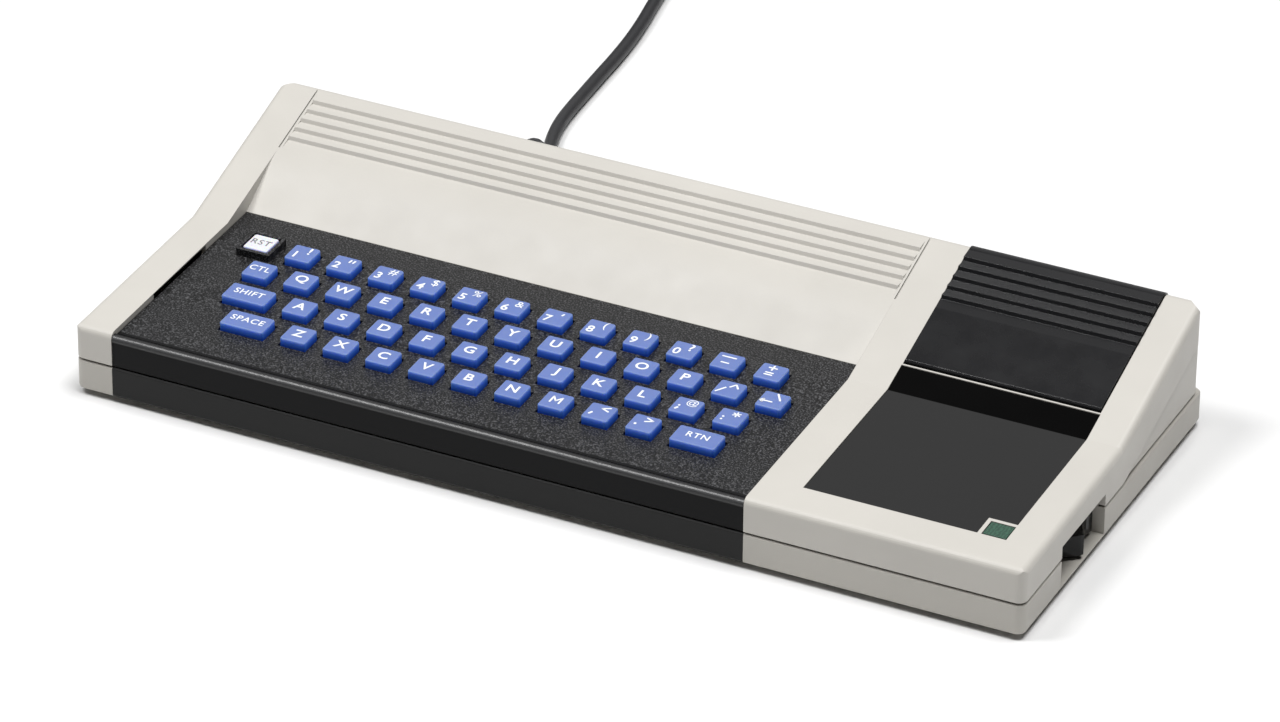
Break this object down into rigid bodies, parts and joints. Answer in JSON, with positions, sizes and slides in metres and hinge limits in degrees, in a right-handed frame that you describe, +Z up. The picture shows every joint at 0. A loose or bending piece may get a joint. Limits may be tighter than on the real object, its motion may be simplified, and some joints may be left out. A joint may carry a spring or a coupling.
{
  "type": "vintage home computer",
  "caption": "Wedge-shaped early home computer: black keyboard deck with blue rubber keys, cartridge cover, side power rocker and captive lead with adapter.",
  "frame": {"origin": "on the surface the feet stand on, under the middle of the case", "axes": "+X to the right seen from the front, +Y to the back, +Z up"},
  "size_m": [0.351, 0.453, 0.0489],
  "materials": {
    "case_plastic": "fine texture, warm off-white",
    "case_plastic_lower": "fine texture, warm off-white",
    "deck_plastic": "coarse grain, black",
    "skirt_plastic": "smooth, black",
    "key_silicone": "soft, slightly translucent blue",
    "reset_silicone": "soft, white",
    "label_sheet": "smooth, dark grey",
    "cover_plastic": "fine grain, black",
    "lens_plastic": "smooth, dark green",
    "rocker_plastic": "smooth, black",
    "switch_plastic": "black",
    "foot_rubber": "dark, matte",
    "screw_steel": "zinc plated",
    "mat_rubber": "blue",
    "board": "green solder mask",
    "chip": "black",
    "connector_plastic": "black",
    "can_steel": "tinned sheet",
    "cord_rubber": "dark grey",
    "adapter_plastic": "black"
  },
  "bodies": {
    "base": {"top_case": "case_plastic", "keyboard_bezel": "deck_plastic", "bottom_case": "case_plastic_lower", "front_skirt": "skirt_plastic", "label_panel": "label_sheet", "power_lens": "lens_plastic", "switch_body": "switch_plastic", "rubber_feet": "foot_rubber", "case_screws": "screw_steel", "key_mat": "mat_rubber", "keyboard_board": "board", "main_board": "board", "board_components": "chip", "cartridge_connector": "connector_plastic", "rf_modulator": "can_steel", "strain_relief": "cord_rubber", "power_cord": "cord_rubber", "cord_coil": "cord_rubber", "power_adapter": "adapter_plastic"},
    "cartridge_cover": {"cartridge_cover": "cover_plastic"},
    "power_rocker": {"power_rocker": "rocker_plastic"},
    "channel_switch": {"channel_switch": "switch_plastic"},
    "number_row_keys": {"number_row_keys": "key_silicone"},
    "key_reset": {"key_reset": "reset_silicone"},
    "key_control": {"key_control": "key_silicone"},
    "key_q": {"key_q": "key_silicone"},
    "key_w": {"key_w": "key_silicone"},
    "key_e": {"key_e": "key_silicone"},
    "key_r": {"key_r": "key_silicone"},
    "key_t": {"key_t": "key_silicone"},
    "key_y": {"key_y": "key_silicone"},
    "key_u": {"key_u": "key_silicone"},
    "key_i": {"key_i": "key_silicone"},
    "key_o": {"key_o": "key_silicone"},
    "key_p": {"key_p": "key_silicone"},
    "key_slash": {"key_slash": "key_silicone"},
    "key_left_arrow": {"key_left_arrow": "key_silicone"},
    "key_shift": {"key_shift": "key_silicone"},
    "key_a": {"key_a": "key_silicone"},
    "key_s": {"key_s": "key_silicone"},
    "key_d": {"key_d": "key_silicone"},
    "key_f": {"key_f": "key_silicone"},
    "key_g": {"key_g": "key_silicone"},
    "key_h": {"key_h": "key_silicone"},
    "key_j": {"key_j": "key_silicone"},
    "key_k": {"key_k": "key_silicone"},
    "key_l": {"key_l": "key_silicone"},
    "key_semicolon": {"key_semicolon": "key_silicone"},
    "key_colon": {"key_colon": "key_silicone"},
    "key_space": {"key_space": "key_silicone"},
    "key_z": {"key_z": "key_silicone"},
    "key_x": {"key_x": "key_silicone"},
    "key_c": {"key_c": "key_silicone"},
    "key_v": {"key_v": "key_silicone"},
    "key_b": {"key_b": "key_silicone"},
    "key_n": {"key_n": "key_silicone"},
    "key_m": {"key_m": "key_silicone"},
    "key_comma": {"key_comma": "key_silicone"},
    "key_period": {"key_period": "key_silicone"},
    "key_return": {"key_return": "key_silicone"}
  },
  "joints": [
    {"name": "cover_slide", "type": "slide", "parent": "base", "child": "cartridge_cover", "axis": [0, 0.9558, 0.294], "range_m": [0, 0.054]},
    {"name": "power_rock", "type": "hinge", "parent": "base", "child": "power_rocker", "pos_m": [0.164, -0.02, 0.00865], "axis": [0, 0, 1], "range_deg": [-24, 0]},
    {"name": "channel_slide", "type": "slide", "parent": "base", "child": "channel_switch", "axis": [1, 0, 0], "range_m": [0, 0.004]},
    {"name": "number_row_press", "type": "slide", "parent": "base", "child": "number_row_keys", "axis": [0, 0.0181, -0.9998], "range_m": [0, 0.0016], "stiffness_N_per_m": 4200},
    {"name": "key_reset_press", "type": "slide", "parent": "base", "child": "key_reset", "axis": [0, 0.0181, -0.9998], "range_m": [0, 0.0016], "stiffness_N_per_m": 350},
    {"name": "key_control_press", "type": "slide", "parent": "base", "child": "key_control", "axis": [0, 0.0181, -0.9998], "range_m": [0, 0.0016], "stiffness_N_per_m": 350},
    {"name": "key_q_press", "type": "slide", "parent": "base", "child": "key_q", "axis": [0, 0.0181, -0.9998], "range_m": [0, 0.0016], "stiffness_N_per_m": 350},
    {"name": "key_w_press", "type": "slide", "parent": "base", "child": "key_w", "axis": [0, 0.0181, -0.9998], "range_m": [0, 0.0016], "stiffness_N_per_m": 350},
    {"name": "key_e_press", "type": "slide", "parent": "base", "child": "key_e", "axis": [0, 0.0181, -0.9998], "range_m": [0, 0.0016], "stiffness_N_per_m": 350},
    {"name": "key_r_press", "type": "slide", "parent": "base", "child": "key_r", "axis": [0, 0.0181, -0.9998], "range_m": [0, 0.0016], "stiffness_N_per_m": 350},
    {"name": "key_t_press", "type": "slide", "parent": "base", "child": "key_t", "axis": [0, 0.0181, -0.9998], "range_m": [0, 0.0016], "stiffness_N_per_m": 350},
    {"name": "key_y_press", "type": "slide", "parent": "base", "child": "key_y", "axis": [0, 0.0181, -0.9998], "range_m": [0, 0.0016], "stiffness_N_per_m": 350},
    {"name": "key_u_press", "type": "slide", "parent": "base", "child": "key_u", "axis": [0, 0.0181, -0.9998], "range_m": [0, 0.0016], "stiffness_N_per_m": 350},
    {"name": "key_i_press", "type": "slide", "parent": "base", "child": "key_i", "axis": [0, 0.0181, -0.9998], "range_m": [0, 0.0016], "stiffness_N_per_m": 350},
    {"name": "key_o_press", "type": "slide", "parent": "base", "child": "key_o", "axis": [0, 0.0181, -0.9998], "range_m": [0, 0.0016], "stiffness_N_per_m": 350},
    {"name": "key_p_press", "type": "slide", "parent": "base", "child": "key_p", "axis": [0, 0.0181, -0.9998], "range_m": [0, 0.0016], "stiffness_N_per_m": 350},
    {"name": "key_slash_press", "type": "slide", "parent": "base", "child": "key_slash", "axis": [0, 0.0181, -0.9998], "range_m": [0, 0.0016], "stiffness_N_per_m": 350},
    {"name": "key_left_arrow_press", "type": "slide", "parent": "base", "child": "key_left_arrow", "axis": [0, 0.0181, -0.9998], "range_m": [0, 0.0016], "stiffness_N_per_m": 350},
    {"name": "key_shift_press", "type": "slide", "parent": "base", "child": "key_shift", "axis": [0, 0.0181, -0.9998], "range_m": [0, 0.0016], "stiffness_N_per_m": 350},
    {"name": "key_a_press", "type": "slide", "parent": "base", "child": "key_a", "axis": [0, 0.0181, -0.9998], "range_m": [0, 0.0016], "stiffness_N_per_m": 350},
    {"name": "key_s_press", "type": "slide", "parent": "base", "child": "key_s", "axis": [0, 0.0181, -0.9998], "range_m": [0, 0.0016], "stiffness_N_per_m": 350},
    {"name": "key_d_press", "type": "slide", "parent": "base", "child": "key_d", "axis": [0, 0.0181, -0.9998], "range_m": [0, 0.0016], "stiffness_N_per_m": 350},
    {"name": "key_f_press", "type": "slide", "parent": "base", "child": "key_f", "axis": [0, 0.0181, -0.9998], "range_m": [0, 0.0016], "stiffness_N_per_m": 350},
    {"name": "key_g_press", "type": "slide", "parent": "base", "child": "key_g", "axis": [0, 0.0181, -0.9998], "range_m": [0, 0.0016], "stiffness_N_per_m": 350},
    {"name": "key_h_press", "type": "slide", "parent": "base", "child": "key_h", "axis": [0, 0.0181, -0.9998], "range_m": [0, 0.0016], "stiffness_N_per_m": 350},
    {"name": "key_j_press", "type": "slide", "parent": "base", "child": "key_j", "axis": [0, 0.0181, -0.9998], "range_m": [0, 0.0016], "stiffness_N_per_m": 350},
    {"name": "key_k_press", "type": "slide", "parent": "base", "child": "key_k", "axis": [0, 0.0181, -0.9998], "range_m": [0, 0.0016], "stiffness_N_per_m": 350},
    {"name": "key_l_press", "type": "slide", "parent": "base", "child": "key_l", "axis": [0, 0.0181, -0.9998], "range_m": [0, 0.0016], "stiffness_N_per_m": 350},
    {"name": "key_semicolon_press", "type": "slide", "parent": "base", "child": "key_semicolon", "axis": [0, 0.0181, -0.9998], "range_m": [0, 0.0016], "stiffness_N_per_m": 350},
    {"name": "key_colon_press", "type": "slide", "parent": "base", "child": "key_colon", "axis": [0, 0.0181, -0.9998], "range_m": [0, 0.0016], "stiffness_N_per_m": 350},
    {"name": "key_space_press", "type": "slide", "parent": "base", "child": "key_space", "axis": [0, 0.0181, -0.9998], "range_m": [0, 0.0016], "stiffness_N_per_m": 350},
    {"name": "key_z_press", "type": "slide", "parent": "base", "child": "key_z", "axis": [0, 0.0181, -0.9998], "range_m": [0, 0.0016], "stiffness_N_per_m": 350},
    {"name": "key_x_press", "type": "slide", "parent": "base", "child": "key_x", "axis": [0, 0.0181, -0.9998], "range_m": [0, 0.0016], "stiffness_N_per_m": 350},
    {"name": "key_c_press", "type": "slide", "parent": "base", "child": "key_c", "axis": [0, 0.0181, -0.9998], "range_m": [0, 0.0016], "stiffness_N_per_m": 350},
    {"name": "key_v_press", "type": "slide", "parent": "base", "child": "key_v", "axis": [0, 0.0181, -0.9998], "range_m": [0, 0.0016], "stiffness_N_per_m": 350},
    {"name": "key_b_press", "type": "slide", "parent": "base", "child": "key_b", "axis": [0, 0.0181, -0.9998], "range_m": [0, 0.0016], "stiffness_N_per_m": 350},
    {"name": "key_n_press", "type": "slide", "parent": "base", "child": "key_n", "axis": [0, 0.0181, -0.9998], "range_m": [0, 0.0016], "stiffness_N_per_m": 350},
    {"name": "key_m_press", "type": "slide", "parent": "base", "child": "key_m", "axis": [0, 0.0181, -0.9998], "range_m": [0, 0.0016], "stiffness_N_per_m": 350},
    {"name": "key_comma_press", "type": "slide", "parent": "base", "child": "key_comma", "axis": [0, 0.0181, -0.9998], "range_m": [0, 0.0016], "stiffness_N_per_m": 350},
    {"name": "key_period_press", "type": "slide", "parent": "base", "child": "key_period", "axis": [0, 0.0181, -0.9998], "range_m": [0, 0.0016], "stiffness_N_per_m": 350},
    {"name": "key_return_press", "type": "slide", "parent": "base", "child": "key_return", "axis": [0, 0.0181, -0.9998], "range_m": [0, 0.0016], "stiffness_N_per_m": 350}
  ]
}
